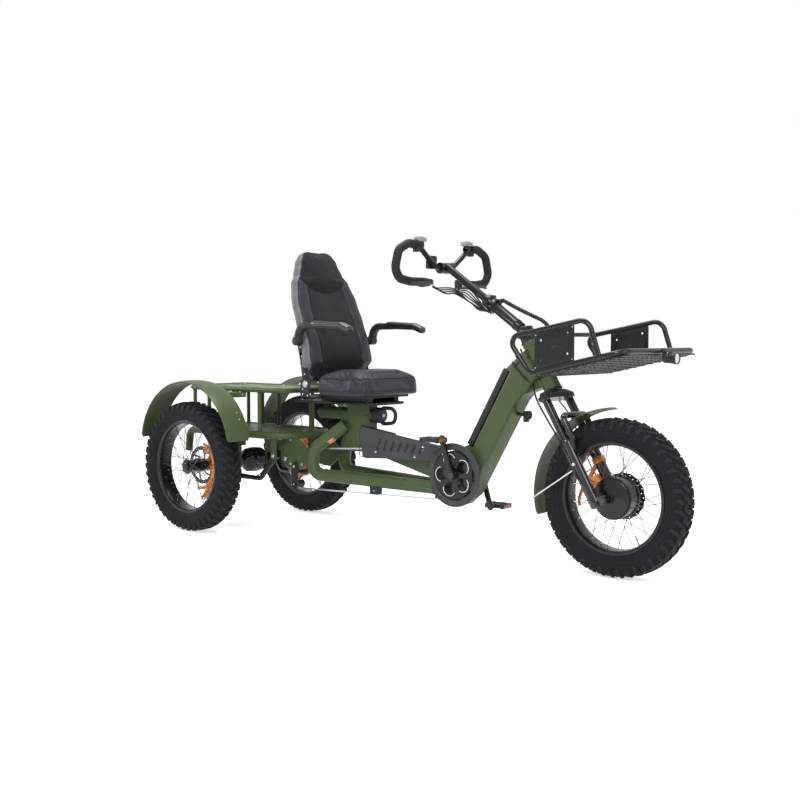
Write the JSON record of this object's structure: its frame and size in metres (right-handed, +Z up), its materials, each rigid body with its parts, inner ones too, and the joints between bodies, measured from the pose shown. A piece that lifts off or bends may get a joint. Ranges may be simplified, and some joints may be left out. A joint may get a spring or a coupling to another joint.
{
  "type": "electric tricycle",
  "caption": "Semi-recumbent electric tricycle with a long tiller and twin-loop handlebar, high-back seat with armrests, slanted battery tube, front carrier, and rear deck with rack.",
  "frame": {"origin": "On the ground at the middle of the footprint, which is midway between the front and rear axles.", "axes": "+X points forward, +Y to the rider's left, +Z up."},
  "size_m": [2.6, 0.89, 1.2914],
  "materials": {
    "olive_paint": "satin",
    "black_paint": "satin",
    "orange_paint": "satin",
    "tyre_rubber": "matt",
    "black_rubber": "matt",
    "seat_vinyl": "grained",
    "black_plastic": "grained",
    "steel": "brushed",
    "dark_steel": "oiled"
  },
  "bodies": {
    "frame": {"down_tube": "olive_paint", "battery_pack": "black_plastic", "lower_tube_left": "olive_paint", "lower_tube_right": "olive_paint", "upper_beam": "olive_paint", "seat_mast": "olive_paint", "seat_base": "olive_paint", "seat_cushion": "seat_vinyl", "seat_slide_handle": "black_plastic", "chain_guard": "black_plastic", "chain": "dark_steel", "cassette": "steel", "derailleur": "black_paint", "idler": "black_plastic", "deck_frame": "olive_paint", "rear_rack": "olive_paint", "axle_housing": "black_paint", "rear_fender_left": "olive_paint", "rear_fender_right": "olive_paint", "rear_caliper_left": "orange_paint", "rear_caliper_right": "orange_paint", "front_rack": "black_paint", "rack_floor": "black_paint", "headlight": "black_plastic"},
    "backrest_body": {"backrest": "seat_vinyl"},
    "armrest_body_left": {"armrest_left": "black_plastic"},
    "armrest_body_right": {"armrest_right": "black_plastic"},
    "steering_body": {"fork_crown": "black_paint", "fork_lowers": "black_paint", "front_fender": "olive_paint", "front_caliper": "orange_paint", "tiller_joint": "black_paint", "tiller": "black_paint", "handlebar": "black_paint", "grip_left": "black_rubber", "grip_right": "black_rubber", "lever_left": "dark_steel", "lever_right": "dark_steel", "display": "black_plastic", "cable_bundle": "black_rubber"},
    "front_wheel_body": {"front_tyre": "tyre_rubber", "front_wheel": "black_paint", "front_disc": "steel"},
    "rear_wheel_body_left": {"rear_tyre_left": "tyre_rubber", "rear_wheel_left": "black_paint", "rear_disc_left": "steel"},
    "rear_wheel_body_right": {"rear_tyre_right": "tyre_rubber", "rear_wheel_right": "black_paint", "rear_disc_right": "steel"},
    "crank_body": {"crank_set": "black_paint"},
    "pedal_body_left": {"pedal_left": "black_plastic"},
    "pedal_body_right": {"pedal_right": "black_plastic"}
  },
  "joints": [
    {"name": "steering", "type": "hinge", "parent": "frame", "child": "steering_body", "pos_m": [0.609, 0, 0.8827], "axis": [-0.5, 0, 0.866], "range_deg": [-30, 30]},
    {"name": "front_wheel_roll", "type": "hinge", "parent": "steering_body", "child": "front_wheel_body", "pos_m": [1, 0, 0.3], "axis": [0, 1, 0], "continuous": true},
    {"name": "rear_wheel_roll_left", "type": "hinge", "parent": "frame", "child": "rear_wheel_body_left", "pos_m": [-1, 0.38, 0.3], "axis": [0, 1, 0], "continuous": true},
    {"name": "rear_wheel_roll_right", "type": "hinge", "parent": "frame", "child": "rear_wheel_body_right", "pos_m": [-1, -0.38, 0.3], "axis": [0, 1, 0], "continuous": true},
    {"name": "crank_turn", "type": "hinge", "parent": "frame", "child": "crank_body", "pos_m": [0.3, 0, 0.335], "axis": [0, 1, 0], "continuous": true},
    {"name": "pedal_turn_left", "type": "hinge", "parent": "crank_body", "child": "pedal_body_left", "pos_m": [0.3479, 0.111, 0.18759], "axis": [0, 1, 0], "continuous": true},
    {"name": "pedal_turn_right", "type": "hinge", "parent": "crank_body", "child": "pedal_body_right", "pos_m": [0.2521, -0.111, 0.48241], "axis": [0, 1, 0], "continuous": true},
    {"name": "backrest_recline", "type": "hinge", "parent": "frame", "child": "backrest_body", "pos_m": [-0.428, 0, 0.69], "axis": [0, 1, 0], "range_deg": [-20, 0]},
    {"name": "armrest_lift_left", "type": "hinge", "parent": "backrest_body", "child": "armrest_body_left", "pos_m": [-0.44, 0.243, 0.88], "axis": [0, 1, 0], "range_deg": [-95, 0]},
    {"name": "armrest_lift_right", "type": "hinge", "parent": "backrest_body", "child": "armrest_body_right", "pos_m": [-0.44, -0.243, 0.88], "axis": [0, 1, 0], "range_deg": [-95, 0]}
  ]
}
